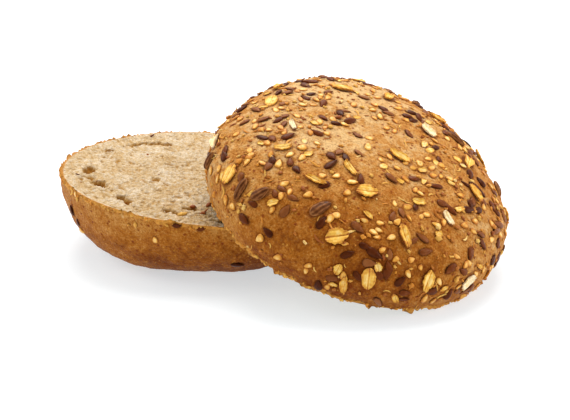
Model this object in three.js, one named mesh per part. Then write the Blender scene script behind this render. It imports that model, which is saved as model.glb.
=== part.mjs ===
// A seeded wholegrain burger bun, cut across into its two halves. Millimetres and degrees, +Z up.
// The heel, the bottom half, lies flat on its base with the cut face up, and the middle of its base is
// the origin. The crown, the top half, lies with its cut face down: one side of its rim is on the table
// and the other leans on the edge of the heel. +X runs from the heel's middle to the crown's.
// Oat flakes, sunflower kernels, linseeds and sesame seeds lie on the crown's crust, each its own solid.
import * as THREE from "three";

const { degToRad } = THREE.MathUtils;

// The bun.
const CUT_RADIUS = 53; // mean radius of the outline where the bun is cut
const OVAL = 0.026; // share by which the outline is longer one way than the mean
const OVAL_AT = 56; // where the long way lies, round the bun
const LOBES = 0.02; // share by which three soft lobes stand out of the outline
const LOBES_AT = 106; // where one of the lobes lies
const AROUND = 72; // sides of each ring

// The crown. Its section follows a superellipse, and swells between the cut and the top.
const CROWN_HEIGHT = 29.4;
const CROWN_OUT_POWER = 2.55;
const CROWN_UP_POWER = 2.67;
const CROWN_SWELL = 2.7; // at half the height
const CROWN_RINGS = 18;

// The heel. Its section follows the same kind of curve, down to a flat base.
const HEEL_THICKNESS = 23.5; // in the middle
const HEEL_BASE_RADIUS = 32;
const HEEL_POWER = 2.2;
const HEEL_RINGS = 10;
const CUT_SLANT = 6.5; // the knife's slant: the heel is thinner on one side
const CUT_SLANT_TOWARDS = 23.5; // direction of the heel's thin side

// How the crown leans on the heel.
const CROWN_OFFSET = 55.6; // from the heel's middle to the crown's, level
const LEAN_TOWARDS = -24; // direction in which the crown slopes down
const CROWN_TURN = 96; // how far the crown is turned round against the heel
const CLEARANCE = 0.3; // between pieces that touch

// The toppings: length, width and thickness.
const KINDS = {
  oat_flake: { size: [7.4, 5.2, 1.0], taper: 0, color: "#e0b566", sides: 10, rings: 5 },
  sunflower_kernel: { size: [8.4, 3.5, 2.0], taper: 0.3, color: "#6b5348", sides: 8, rings: 6 },
  linseed: { size: [4.9, 2.5, 1.2], taper: 0.35, color: "#4b2d25", sides: 8, rings: 6 },
  sesame_seed: { size: [3.2, 1.9, 0.9], taper: 0.35, color: "#e3bd76", sides: 8, rings: 6 },
};

// The large toppings on the crown's fuller side, set out by hand. round: degrees round the bun. rise:
// degrees up the crust, 0 at the cut and 90 at the top. turn: of the long side, from level towards the
// rim. scale: against the usual length and width of its kind.
const SET_OUT = {
  oat_flake: [
    { round: 349, rise: 25, turn: 60, scale: [1.0, 1.0] },
    { round: 302, rise: 48, turn: 170, scale: [1.05, 0.9] },
    { round: 255, rise: 62, turn: 45, scale: [1.05, 0.75] },
    { round: 349, rise: 56, turn: 105, scale: [0.8, 0.5] },
    { round: 18, rise: 56, turn: 170, scale: [1.0, 0.55] },
    { round: 30, rise: 70, turn: 35, scale: [0.95, 0.55] },
    { round: 96, rise: 82, turn: 70, scale: [1.1, 0.95] },
    { round: 47, rise: 62, turn: 160, scale: [1.0, 0.95] },
    { round: 40, rise: 35, turn: 150, scale: [1.0, 1.1] },
    { round: 67, rise: 44, turn: 80, scale: [1.1, 0.7] },
    { round: 55, rise: 17, turn: 80, scale: [1.0, 0.95] },
    { round: 48, rise: 10, turn: 80, scale: [0.9, 0.6] },
    { round: 76, rise: 20, turn: 110, scale: [0.95, 0.85] },
    { round: 93, rise: 15, turn: 145, scale: [0.85, 0.75] },
    { round: 93, rise: 51, turn: 90, scale: [0.75, 0.5] },
    { round: 124, rise: 51, turn: 130, scale: [1.05, 0.65] },
    { round: 328, rise: 63, turn: 170, scale: [0.85, 0.45] },
    { round: 326, rise: 20, turn: 10, scale: [0.95, 0.7] },
    { round: 283, rise: 40, turn: 165, scale: [0.95, 0.7] },
  ],
  sunflower_kernel: [
    { round: 29, rise: 45, turn: 115, scale: [1.0, 1.0] },
    { round: 6, rise: 33, turn: 110, scale: [0.8, 1.0] },
    { round: 358, rise: 26, turn: 70, scale: [0.95, 0.8] },
    { round: 334, rise: 14, turn: 80, scale: [0.8, 0.9] },
  ],
};

// The rest are scattered by a rule: how many of each kind, over which part of the crust.
const SCATTERED = {
  oat_flake: { count: 8, from: 140, to: 255, low: 14, high: 72 },
  sunflower_kernel: { count: 3, from: 150, to: 245, low: 20, high: 60 },
  linseed: { count: 12, from: 0, to: 360, low: 12, high: 80 },
  sesame_seed: { count: 12, from: 0, to: 360, low: 12, high: 80 },
};
const GOLDEN_SHARE = 0.618034; // spreads points over a range with no pattern
const SPIN_STEP = 77; // turns each scattered piece against the last
const SIDESTEP = 7; // how far round a scattered piece moves on when its place is taken
const APART = 0.8; // least free crust between two toppings

// The outline's radius at an angle in radians, as a share of the mean.
function outline(angle) {
  const oval = OVAL * Math.cos(2 * (angle - degToRad(OVAL_AT)));
  return 1 + oval + LOBES * Math.cos(3 * (angle - degToRad(LOBES_AT)));
}

// A point of a superellipse's quarter, from (width, 0) at 0 degrees to (0, height) at 90.
function quarter(degrees, width, height, outPower, upPower) {
  const angle = degToRad(degrees);
  const out = Math.max(Math.cos(angle), 0) ** (2 / outPower);
  return new THREE.Vector2(width * out, height * Math.sin(angle) ** (2 / upPower));
}

// The crown's section, before the outline is applied.
function crownSection(rise) {
  const point = quarter(rise, CUT_RADIUS, CROWN_HEIGHT, CROWN_OUT_POWER, CROWN_UP_POWER);
  const share = point.y / CROWN_HEIGHT;
  point.x += CROWN_SWELL * 4 * share * (1 - share);
  return point;
}

// A round body from a section that starts and ends on the axis, its rings shaped by the outline.
function bunGeometry(section) {
  const geometry = new THREE.LatheGeometry(section, AROUND);
  geometry.rotateX(Math.PI / 2);
  const position = geometry.getAttribute("position");
  for (let i = 0; i < position.count; i++) {
    const share = outline(Math.atan2(position.getY(i), position.getX(i)));
    position.setX(i, position.getX(i) * share);
    position.setY(i, position.getY(i) * share);
  }
  return geometry;
}

function crownGeometry() {
  const section = [new THREE.Vector2(0, 0)];
  for (let i = 0; i < CROWN_RINGS; i++) section.push(crownSection((90 * i) / CROWN_RINGS));
  section.push(new THREE.Vector2(0, CROWN_HEIGHT));
  return bunGeometry(section);
}

// How thick the heel is at a place, under its slanting cut.
function heelThickness(x, y) {
  const direction = degToRad(CUT_SLANT_TOWARDS);
  const along = x * Math.cos(direction) + y * Math.sin(direction);
  return HEEL_THICKNESS - along * Math.tan(degToRad(CUT_SLANT));
}

function heelGeometry() {
  const section = [new THREE.Vector2(0, 0)];
  for (let i = 0; i <= HEEL_RINGS; i++) {
    const side = quarter((90 * i) / HEEL_RINGS, 1, 1, HEEL_POWER, HEEL_POWER);
    const out = HEEL_BASE_RADIUS + (CUT_RADIUS - HEEL_BASE_RADIUS) * side.y;
    section.push(new THREE.Vector2(out, 1 - side.x));
  }
  section.push(new THREE.Vector2(0, 1));
  const geometry = bunGeometry(section);
  const position = geometry.getAttribute("position");
  for (let i = 0; i < position.count; i++) {
    const thickness = heelThickness(position.getX(i), position.getY(i));
    position.setZ(i, position.getZ(i) * thickness);
  }
  return geometry;
}

// A flat, rounded body along X. taper makes its -X end more pointed.
function toppingGeometry(kind, [longer, wider]) {
  const [length, width, thickness] = kind.size;
  const section = [];
  for (let i = 0; i <= kind.rings; i++) {
    const angle = (Math.PI * i) / kind.rings;
    const radius = i === kind.rings ? 0 : Math.sin(angle) * (1 - kind.taper * Math.cos(angle));
    section.push(new THREE.Vector2(radius / 2, -Math.cos(angle) / 2));
  }
  const geometry = new THREE.LatheGeometry(section, kind.sides);
  geometry.rotateZ(-Math.PI / 2);
  return geometry.scale(length * longer, width * wider, thickness);
}

// A place on the crown's crust: the point, and the directions round, down to the rim and out of it.
function crustPlace(round, rise) {
  const at = (angle, up) => {
    const point = crownSection(up);
    const radius = point.x * outline(angle);
    return new THREE.Vector3(Math.cos(angle) * radius, Math.sin(angle) * radius, point.y);
  };
  const angle = degToRad(round);
  const step = 0.5;
  const level = at(angle + degToRad(step), rise).sub(at(angle - degToRad(step), rise)).normalize();
  const down = at(angle, rise - step).sub(at(angle, rise + step)).normalize();
  const out = new THREE.Vector3().crossVectors(down, level).normalize();
  return { point: at(angle, rise), level, down, out };
}

function bread(name, geometry, color) {
  const mesh = new THREE.Mesh(geometry, new THREE.MeshStandardMaterial({ color, roughness: 0.75 }));
  mesh.name = name;
  return mesh;
}

// One topping, lying on the crust at a place.
function topping(kindName, number, { round, rise, turn, scale }) {
  const kind = KINDS[kindName];
  const { point, level, down, out } = crustPlace(round, rise);
  const material = new THREE.MeshStandardMaterial({ color: kind.color, roughness: 0.55 });
  const mesh = new THREE.Mesh(toppingGeometry(kind, scale), material);
  mesh.name = `${kindName}_${String(number).padStart(2, "0")}`;
  const [cosine, sine] = [Math.cos(degToRad(turn)), Math.sin(degToRad(turn))];
  const along = level.clone().multiplyScalar(cosine).addScaledVector(down, sine);
  along.addScaledVector(out, -along.dot(out)).normalize();
  const across = new THREE.Vector3().crossVectors(out, along);
  mesh.setRotationFromMatrix(new THREE.Matrix4().makeBasis(along, across, out));
  mesh.position.copy(point).addScaledVector(out, kind.size[2] / 2 + CLEARANCE);
  mesh.userData.reach = (kind.size[0] * Math.max(...scale)) / 2;
  return mesh;
}

function isClear(mesh, others) {
  return others.every((other) => {
    const gap = mesh.position.distanceTo(other.position) - mesh.userData.reach - other.userData.reach;
    return gap > APART;
  });
}

// All the toppings: those set out by hand first, then the scattered ones in the free places.
function toppings() {
  const laid = [];
  for (const [kindName, places] of Object.entries(SET_OUT)) {
    places.forEach((place, i) => laid.push(topping(kindName, i + 1, place)));
  }
  for (const [kindName, area] of Object.entries(SCATTERED)) {
    const first = (SET_OUT[kindName] ?? []).length + 1;
    for (let i = 0; i < area.count; i++) {
      const share = (i * GOLDEN_SHARE) % 1;
      const place = {
        round: area.from + share * (area.to - area.from),
        rise: area.low + ((i + 0.5) / area.count) * (area.high - area.low),
        turn: (i * SPIN_STEP) % 180,
        scale: [1, 1],
      };
      let mesh = topping(kindName, first + i, place);
      while (!isClear(mesh, laid)) {
        place.round += SIDESTEP;
        mesh = topping(kindName, first + i, place);
      }
      laid.push(mesh);
    }
  }
  return laid;
}

// The crown's pose when it leans at an angle: its lowest point is on the table.
function crownPose(lean, crown) {
  const pose = new THREE.Matrix4()
    .makeRotationFromEuler(new THREE.Euler(0, degToRad(lean), degToRad(LEAN_TOWARDS), "ZYX"))
    .multiply(new THREE.Matrix4().makeRotationZ(-degToRad(CROWN_TURN)));
  const turned = crown.clone().applyMatrix4(pose);
  turned.computeBoundingBox();
  return pose.setPosition(CROWN_OFFSET, 0, -turned.boundingBox.min.z);
}

// The free height between the heel's edge and the crown's cut face, which is z 0 in the crown's frame.
function gapUnder(pose, heel) {
  const edge = heel.clone().applyMatrix4(pose.clone().invert()).getAttribute("position");
  let gap = Infinity;
  for (let i = 0; i < edge.count; i++) {
    const reach = Math.hypot(edge.getX(i), edge.getY(i));
    if (reach < CUT_RADIUS) gap = Math.min(gap, -edge.getZ(i));
  }
  return gap;
}

// The crown leans until its cut face comes to rest on the heel.
function restingPose(crown, heel) {
  let [tooFlat, tooSteep] = [5, 60];
  for (let i = 0; i < 40; i++) {
    const lean = (tooFlat + tooSteep) / 2;
    if (gapUnder(crownPose(lean, crown), heel) < CLEARANCE) tooFlat = lean;
    else tooSteep = lean;
  }
  return crownPose(tooSteep, crown);
}

const heelShape = heelGeometry();
const crownShape = crownGeometry();

const crownGroup = new THREE.Group();
crownGroup.applyMatrix4(restingPose(crownShape, heelShape));
crownGroup.add(bread("crown", crownShape, "#b27a41"), ...toppings());

const bun = new THREE.Group();
bun.add(bread("heel", heelShape, "#b8854d"), crownGroup);

export default bun;
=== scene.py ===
# %% [markdown]
# # A seeded wholegrain burger bun
#
# The bun is cut in two. The heel, its bottom half, lies flat with its soft crumb showing. The crown, its
# domed top half, leans on the heel with its cut face down, and its crust is covered in seeds and oats.
#
# A packed construction model already holds both halves and the larger toppings as plain solids, at their
# real size and place. This lesson makes their looks around it: bread with a crust and a porous crumb,
# and seeds, oat flakes and crumbs that sit in the crust. Everything is in metres, in the model's frame.

# %% Load the plain model
import math

import bpy
import numpy as np
from mathutils import Matrix, Vector, bvhtree, kdtree, noise


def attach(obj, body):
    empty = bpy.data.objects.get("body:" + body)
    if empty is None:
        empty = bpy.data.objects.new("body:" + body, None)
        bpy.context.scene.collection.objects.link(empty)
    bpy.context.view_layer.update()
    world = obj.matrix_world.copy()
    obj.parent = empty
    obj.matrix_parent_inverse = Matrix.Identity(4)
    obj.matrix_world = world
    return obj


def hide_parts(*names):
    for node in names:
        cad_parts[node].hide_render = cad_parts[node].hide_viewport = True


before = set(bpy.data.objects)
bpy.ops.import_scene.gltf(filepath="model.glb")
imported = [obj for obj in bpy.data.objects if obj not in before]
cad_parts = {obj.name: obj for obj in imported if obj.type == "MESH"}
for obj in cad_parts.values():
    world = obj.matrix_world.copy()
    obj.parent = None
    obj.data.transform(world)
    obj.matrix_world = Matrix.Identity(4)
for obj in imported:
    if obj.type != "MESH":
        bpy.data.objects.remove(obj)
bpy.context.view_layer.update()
MM = 0.001
rng = np.random.default_rng(20)

# %% [markdown]
# ## The camera
#
# A food stylist's camera looks down on a bun a little, from close by, so that both the dome and the cut
# face show. A camera could be pushed about by hand until it looks right. Here it hangs on a point between
# the halves, turned and raised by two angles, so that its view can be read off four numbers.

# %% Place the camera
CAMERA_TURN = math.radians(23.4)
CAMERA_RISE = math.radians(20.95)
CAMERA_DISTANCE = 429.3 * MM
LENS = 71.7  # on Blender's usual sensor, 36 mm wide
LOOK_AT = Vector((25.15, 10.9, 9.5)) * MM


def make_camera():
    camera = bpy.data.objects.new("camera", bpy.data.cameras.new("camera"))
    bpy.context.scene.collection.objects.link(camera)
    level = math.cos(CAMERA_RISE)
    back = Vector((math.sin(CAMERA_TURN) * level, -math.cos(CAMERA_TURN) * level, math.sin(CAMERA_RISE)))
    camera.location = LOOK_AT + back * CAMERA_DISTANCE
    camera.rotation_mode = "QUATERNION"
    camera.rotation_quaternion = back.to_track_quat("Z", "Y")
    camera.data.lens = LENS
    camera.data.clip_start = 0.01
    bpy.context.scene.camera = camera
    return camera


camera = make_camera()
print("camera at", [round(x / MM) for x in camera.location], "mm")

# %% [markdown]
# ## Light and floor
#
# Pale bread on a white table needs light that is large and soft: a studio hangs a big diffuser over the
# table and lets white cards fill the shadows. A sky texture would give a hard sun. Area lights and an
# even white world do the same as the diffuser and the cards.

# %% Light the set
WHITE = (1.0, 1.0, 1.0)
WORLD_STRENGTH = 0.52
SOFTBOXES = (  # name, place and size in metres, power in watts, colour
    ("diffuser_above", (-0.12, 0.35, 0.75), 0.7, 8.5, (1.0, 0.99, 0.97)),
    ("card_left", (-0.7, -0.2, 0.5), 0.5, 3.0, WHITE),
    ("card_right", (0.7, 0.25, 0.3), 0.5, 3.0, WHITE),
    ("card_front", (0.25, -0.75, 0.12), 0.4, 0.9, WHITE),
)
MIDDLE = Vector((28, 0, 25)) * MM  # what the lights point at


def add_softbox(name, place, size, watts, tint):
    light = bpy.data.lights.new(name, "AREA")
    light.size = size
    light.energy = watts
    light.color = tint
    lamp = bpy.data.objects.new(name, light)
    bpy.context.scene.collection.objects.link(lamp)
    lamp.location = place
    lamp.rotation_mode = "QUATERNION"
    lamp.rotation_quaternion = (Vector(place) - MIDDLE).to_track_quat("Z", "Y")


def light_set():
    world = bpy.data.worlds.new("white_room")
    world.use_nodes = True
    background = world.node_tree.nodes["Background"]
    background.inputs["Color"].default_value = (*WHITE, 1.0)
    background.inputs["Strength"].default_value = WORLD_STRENGTH
    bpy.context.scene.world = world
    for softbox in SOFTBOXES:
        add_softbox(*softbox)
    bpy.context.scene.view_settings.view_transform = "Standard"


light_set()
print(len(SOFTBOXES), "soft lights, world strength", WORLD_STRENGTH)

# %% [markdown]
# The table glows a little from below, as white product tables do, so that the shadows on it stay faint. A
# lamp under a glass sheet would do it too, but a glow in the material is simpler. It is bluish, to make up
# for the warm light that the bread throws on the table.

# %% Make the table
FLOOR_SIZE = 6.0
FLOOR_FINISH = {
    "Base Color": (0.52, 0.52, 0.52, 1.0),
    "Roughness": 0.7,
    "Specular IOR Level": 0.2,
    "Emission Color": (0.50, 0.54, 0.56, 1.0),
    "Emission Strength": 1.0,
}


def make_floor():
    reach = FLOOR_SIZE / 2
    corners = [(-reach, -reach, 0), (reach, -reach, 0), (reach, reach, 0), (-reach, reach, 0)]
    mesh = bpy.data.meshes.new("floor")
    mesh.from_pydata(corners, [], [(0, 1, 2, 3)])
    floor = bpy.data.objects.new("floor", mesh)
    bpy.context.scene.collection.objects.link(floor)
    material = bpy.data.materials.new("white_table")
    material.use_nodes = True
    surface = material.node_tree.nodes["Principled BSDF"]
    for socket, value in FLOOR_FINISH.items():
        surface.inputs[socket].default_value = value
    mesh.materials.append(material)


make_floor()
print("floor", FLOOR_SIZE, "m wide")


# %% [markdown]
# ## Measure the two halves
#
# The crust has to follow the plain model. Its sizes could be typed in again, but then two files would have
# to agree. It is safer to measure them. Each half has one large flat face, its cut, and that face gives
# the half's own upright frame, in which the bread is easy to describe.

# %% Find the cut of each half
DOWN = Vector((0, 0, -1))
FACES_A_WAY = 0.5  # the least cosine between a face's direction and a way that it faces


def points_of(node):
    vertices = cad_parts[node].data.vertices
    points = np.empty(len(vertices) * 3)
    vertices.foreach_get("co", points)
    return points.reshape(-1, 3)


def cut_of(node, facing):
    """The middle and the outward direction of a half's cut: its largest flat face that faces a way."""
    faces = {}
    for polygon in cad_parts[node].data.polygons:
        if polygon.normal.dot(facing) > FACES_A_WAY:
            direction = tuple(round(x, 2) for x in polygon.normal)
            faces.setdefault(direction, []).append(polygon)
    largest = max(faces.values(), key=lambda group: sum(p.area for p in group))
    normal = sum((p.normal * p.area for p in largest), Vector()).normalized()
    corners = {tuple(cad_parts[node].data.vertices[i].co) for p in largest for i in p.vertices}
    return sum(map(Vector, corners), Vector()) / len(corners), normal


def upright_frame(origin, up, ahead):
    """A matrix whose Z is up, whose X is the way across up that is nearest to ahead."""
    side = up.cross(ahead).normalized()
    return Matrix.Translation(origin) @ Matrix((side.cross(up), side, up)).transposed().to_4x4()


crown_middle, crown_facing = cut_of("crown", DOWN)
heel_middle, heel_facing = cut_of("heel", -DOWN)
CROWN = upright_frame(crown_middle, -crown_facing, DOWN)
HEEL = Matrix.Identity(4)
print("the crown leans", round(math.degrees((-crown_facing).angle(-DOWN)), 1), "degrees")
print("the heel's cut slants", round(math.degrees(heel_facing.angle(-DOWN)), 1), "degrees")

# %% [markdown]
# In its own frame a half is two curves. The outline says how far the cut's edge is from the axis at each
# angle. The section says, ring by ring, which share of the outline the crust has reached and how high it
# is. The plain model's rings are coarse, so a smooth curve is drawn through them. A Catmull-Rom spline is
# the simplest one that passes through every point.

# %% Draw a smooth curve through points
LONG = 1.5  # how many usual steps between two rings count as a long one


def moved(matrix, points):
    return points @ np.array(matrix.to_3x3()).T + np.array(matrix.translation)


def spline(knots, where):
    """Points of a smooth curve through the knots; where counts knots."""
    ends = np.concatenate([[2 * knots[0] - knots[1]], knots, [2 * knots[-1] - knots[-2]]])
    start = np.clip(where.astype(int), 0, len(knots) - 2)
    t = (where - start)[:, None]
    a, b, c, d = (ends[start + i] for i in range(4))
    return b + 0.5 * t * (c - a + t * (2 * a - 5 * b + 4 * c - d + t * (3 * (b - c) + d - a)))


def split_long(knots):
    """The knots, with more of them on straight stretches, so that the spline stays straight there."""
    lengths = np.linalg.norm(np.diff(knots, axis=0), axis=1)
    usual = np.median(lengths)
    points = [knots[:1]]
    for a, b, length in zip(knots, knots[1:], lengths):
        parts = max(1, round(length / usual / LONG))
        points.append(a + (b - a) * np.linspace(0, 1, parts + 1)[1:, None])
    return np.concatenate(points)


squares = np.array([[0], [1], [4], [9]])
print("half way through 0, 1, 4, 9 the curve is at", spline(squares, np.array([1.5]))[0, 0])

# %% [markdown]
# A half keeps its outline and its section, and gives back a point of its crust or of its cut for any
# direction and any share of the way from the axis to the cut. The rest of the lesson asks it for points.

# %% Read the outline and the section
SAMPLES = 600  # steps along a smooth section
ON_CUT = 0.01 * MM  # how near the cut a point of the plain model is when it is on it


class Half:
    """One half of the bun. depth(x, y) is what the section's heights are shares of."""

    def __init__(self, node, matrix, cut, depth, outside):
        self.node, self.matrix, self.cut, self.depth = node, matrix, cut, depth
        self.outside = outside  # 1 where the crust is above the cut, -1 where it is below
        x, y, z = moved(matrix.inverted(), points_of(node)).T
        angle, reach = np.degrees(np.arctan2(y, x)), np.hypot(x, y)
        at_cut = np.abs(z - cut(x, y)) < ON_CUT
        rim = at_cut & (reach > reach.max() / 2)
        order = np.argsort(angle[rim])
        self.angles, self.reaches = angle[rim][order], reach[rim][order]
        share, lift = reach / self.outline(np.radians(angle)), z / depth(x, y)
        crust = ~at_cut | rim
        rings = {(round(s, 3), round(h, 4)): (s, h) for s, h in zip(share[crust], lift[crust])}
        towards_cut = sorted(rings.values(), key=lambda ring: (-outside * ring[1], ring[0]))
        self.make_section(np.array(towards_cut))

    def make_section(self, rings):
        """A table of the smooth section, at equal steps of its length, from the axis to the cut."""
        width, height = self.reaches.mean(), float(np.mean(self.depth(0.0, 0.0)))
        knots = split_long(rings * (width, height))
        curve = spline(knots, np.linspace(0, len(knots) - 1, SAMPLES))
        run = np.concatenate([[0], np.cumsum(np.linalg.norm(np.diff(curve, axis=0), axis=1))])
        self.run, self.curve, self.length = run / run[-1], curve / (width, height), run[-1]

    def outline(self, angle):
        """How far the cut's edge is from the axis, at angles in radians."""
        return np.interp(np.degrees(angle), self.angles, self.reaches, period=360)

    def crust(self, rho, angle):
        """Points of the crust. rho is 0 at the axis and 1 at the cut."""
        share, lift = (np.interp(rho, self.run, self.curve[:, i]) for i in range(2))
        reach = share * self.outline(angle)
        x, y = reach * np.cos(angle), reach * np.sin(angle)
        return np.stack([x, y, lift * self.depth(x, y)], -1)

    def face(self, rho, angle):
        """Points of the cut face, in the same terms."""
        reach = rho * self.outline(angle)
        x, y = reach * np.cos(angle), reach * np.sin(angle)
        return np.stack([x, y, self.cut(x, y)], -1)


def level_cut(x, y):
    return np.zeros_like(x)


def slanting_cut(x, y):
    run = (x - heel_middle.x) * heel_facing.x + (y - heel_middle.y) * heel_facing.y
    return heel_middle.z - run / heel_facing.z


crown_half = Half("crown", CROWN, level_cut, lambda x, y: np.ones_like(x), 1)
heel_half = Half("heel", HEEL, slanting_cut, slanting_cut, -1)
for half in (crown_half, heel_half):
    print(half.node, "outline", round(half.reaches.min() / MM, 1), "to", round(half.reaches.max() / MM, 1),
          "mm, section", round(half.length / MM, 1), "mm long")

# %% [markdown]
# ## One way to build every closed piece
#
# A half of a bun, a seed and an oat flake have the same build: an upper skin and a lower skin that meet
# along a rim. A sphere's mesh would crowd its points at two poles. A square grid squeezed into a disc
# spreads them evenly, and two such discs with a common rim are one closed, watertight mesh.

# %% Build two skins that share a rim
LAST_RING = 0.999  # a point further out than this is on the rim


def disc_grid(cells):
    """Distance from the middle, 0 to 1, and angle, for a square grid squeezed into a disc."""
    line = np.linspace(-1, 1, cells + 1)
    a, b = np.meshgrid(line, line, indexing="ij")
    wide = np.abs(a) > np.abs(b)
    safe_a, safe_b = np.where(a == 0, 1, a), np.where(b == 0, 1, b)
    angle = np.where(wide, b / safe_a * math.pi / 4, math.pi / 2 - a / safe_b * math.pi / 4)
    radius = np.where(wide, a, b)
    angle = np.where(radius < 0, angle + math.pi, angle)
    return np.abs(radius).ravel(), angle.ravel()


def two_skins(cells):
    """The faces of an upper and a lower skin, and which grid points the lower skin has of its own."""
    side = cells + 1
    upper = np.arange(side * side).reshape(side, side)
    inner = np.zeros((side, side), bool)
    inner[1:-1, 1:-1] = True
    lower = upper.copy()
    lower[inner] = side * side + np.arange(inner.sum())

    def faces(grid):
        corners = [grid[:-1, :-1], grid[1:, :-1], grid[1:, 1:], grid[:-1, 1:]]
        return np.stack(corners, -1).reshape(-1, 4)

    return faces(upper), faces(lower)[:, ::-1], inner.ravel()


def new_piece(name, points, faces, facts=None):
    """A smooth-shaded mesh object. facts are numbers at each point, by name, for its material to use."""
    mesh = bpy.data.meshes.new(name)
    mesh.vertices.add(len(points))
    mesh.vertices.foreach_set("co", np.ascontiguousarray(points, np.float32).ravel())
    mesh.loops.add(faces.size)
    mesh.loops.foreach_set("vertex_index", np.ascontiguousarray(faces, np.int32).ravel())
    mesh.polygons.add(len(faces))
    mesh.polygons.foreach_set("loop_start", np.arange(0, faces.size, 4, dtype=np.int32))
    mesh.polygons.foreach_set("use_smooth", np.ones(len(faces), bool))
    mesh.update(calc_edges=True)
    mesh.validate()
    for fact, values in (facts or {}).items():
        layer = mesh.attributes.new(fact, "FLOAT", "POINT")
        layer.data.foreach_set("value", np.ascontiguousarray(values, np.float32))
    piece = bpy.data.objects.new(name, mesh)
    bpy.context.scene.collection.objects.link(piece)
    return piece


BREAD_CELLS = 216
SPACING = 2 * crown_half.reaches.mean() / BREAD_CELLS
print("the bread's points are about", round(SPACING / MM, 2), "mm apart")

# %% [markdown]
# ## The shape of the crust
#
# Dough rises unevenly and its skin shrinks as it bakes, so a crust has broad swells, shallow dimples and
# fine wrinkles. Sculpting them by hand would be slow and hard to repeat. Smooth random noise at a few
# sizes, from broad to fine, does the same, and a fixed seed gives the same bun every time.

# %% Make the crust uneven
SEED_SHIFT = Vector((11.3, 5.7, 3.1))  # how far apart in the noise two seeds look
FALLOFF = 0.9  # how fast finer bumps get lower
FINER = 2.0  # how many times as fine each octave is


def noise_at(points, size, octaves, seed):
    """Smooth noise, about -1 to 1, with bumps of the given size."""
    shift = SEED_SHIFT * seed
    return np.array([noise.fractal(Vector(p) / size + shift, FALLOFF, FINER, octaves) for p in points])


def smooth_step(low, high, values):
    t = np.clip((values - low) / (high - low), 0, 1)
    return t * t * (3 - 2 * t)


def crust_normals(half, rho, angle):
    """Directions out of the crust."""
    step = 0.002
    rho = np.maximum(rho, step)
    to_cut = half.crust(rho, angle) - half.crust(rho - step, angle)
    onward = half.crust(rho, angle + step) - half.crust(rho, angle - step)
    normal = np.cross(to_cut, onward) * half.outside
    return normal / np.linalg.norm(normal, axis=1, keepdims=True)


SWELLS = ((34, 1, 0.7), (13, 2, 0.42), (5, 2, 0.24))  # size, octaves and height, in mm
SAGS = {  # where the dough stood out or sank: degrees round, share of the crust, reach and height in mm
    "crown": (
        (116, 0.64, 17, -0.9), (88, 0.66, 12, -0.3), (40, 0.8, 12, 0.9), (203, 0.8, 11, -0.7),
        (158, 0.68, 9, 0.4)),
    "heel": ((220, 0.96, 9, 0.9), (259, 0.63, 11, 1.0), (290, 0.61, 9, -0.4), (316, 0.62, 12, 0.9)),
}
HELD_RIM = 0.6  # the share of the swells that the rim loses


def swollen_crust(half, rho, angle, seed):
    """The crust with its broad and middling bumps, and the directions out of it."""
    points, normals = half.crust(rho, angle), crust_normals(half, rho, angle)
    height = sum(noise_at(points, size * MM, octaves, seed + i) * amount * MM
                 for i, (size, octaves, amount) in enumerate(SWELLS))
    for degrees, share, reach, amount in SAGS[half.node]:
        middle = half.crust(np.array([share]), np.radians([degrees]))[0]
        away = np.linalg.norm(points - middle, axis=1) / (reach * MM)
        height += amount * MM * np.exp(-(away**2))
    held = 1 - HELD_RIM * smooth_step(0.9, 1.0, rho)
    return points + normals * (height * held)[:, None], normals


rho, angle = disc_grid(BREAD_CELLS)
crown_skin, crown_normals = swollen_crust(crown_half, rho, angle, 1)
heel_skin, heel_normals = swollen_crust(heel_half, rho, angle, 5)
upper_faces, lower_faces, inner = two_skins(BREAD_CELLS)
moved_by = np.linalg.norm(crown_skin - crown_half.crust(rho, angle), axis=1)
print("the crown's swells move it by up to", round(moved_by.max() / MM, 2), "mm")

# %% [markdown]
# ## Seeds, flakes and crumbs, one of each shape first
#
# No two seeds are alike, but there are hundreds, and making each by hand is not needed. A few shapes of
# each kind are made once, with length along X, width along Y and the outward side along Z, and copies are
# turned, scaled and tinted. Every shape is the two-skin body: a rule says how high each skin is over the
# disc. The rules are in millimetres.
#
# Each point also keeps two numbers for the material. The one called edge is 0 in the middle of a seed and
# 1 at its rim, because seeds and flakes toast first at their edges. The one called across is the place
# across its width, because the lines on a kernel or a grain run along its length.

# %% Describe a shape over the disc


def shape(cells, outline, upper, lower):
    """A small closed body. The three rules take the disc's x, y and distance from the middle."""
    rho, angle = disc_grid(cells)
    out = np.sin(rho * math.pi / 2)  # more points near the rim, where a seed curves most
    x, y = out * np.cos(angle), out * np.sin(angle)
    faces_up, faces_down, own = two_skins(cells)
    flat, high, low = outline(x, y, out), upper(x, y, out), lower(x, y, out)
    high_or_rim = np.where(rho > LAST_RING, (high + low) / 2, high)
    top, under = np.column_stack([*flat, high_or_rim]), np.column_stack([*flat, low])[own]
    points = np.concatenate([top, under]) * MM
    facts = {"edge": np.concatenate([out, out[own]]), "across": np.concatenate([y, y[own]])}
    return points, np.concatenate([faces_up, faces_down]), facts


def dome(out, power=0.5):
    return np.maximum(1 - out**2, 0) ** power


print("a dome is", dome(0.0), "high in the middle and", dome(1.0), "at the rim")


# %% [markdown]
# A linseed is a flat, glossy drop with a small beak at one end. A sesame seed is smaller, paler and flatter,
# with a thin rim. A hulled sunflower kernel is long and pointed, with low ridges along it.

# %% Shape the seeds
SEED_CELLS = 12
KERNEL_CELLS = 20


def linseed(taper, beak):
    def outline(x, y, out):
        tip = np.maximum(x, 0)
        width = 1.3 * (1 - taper * x) * (1 - 0.42 * tip**3) * y + beak * tip**4
        return 2.4 * (x + 0.1 * tip**6), width

    return shape(SEED_CELLS, outline, lambda x, y, out: 0.62 * dome(out), lambda x, y, out: -0.5 * dome(out))


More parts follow.
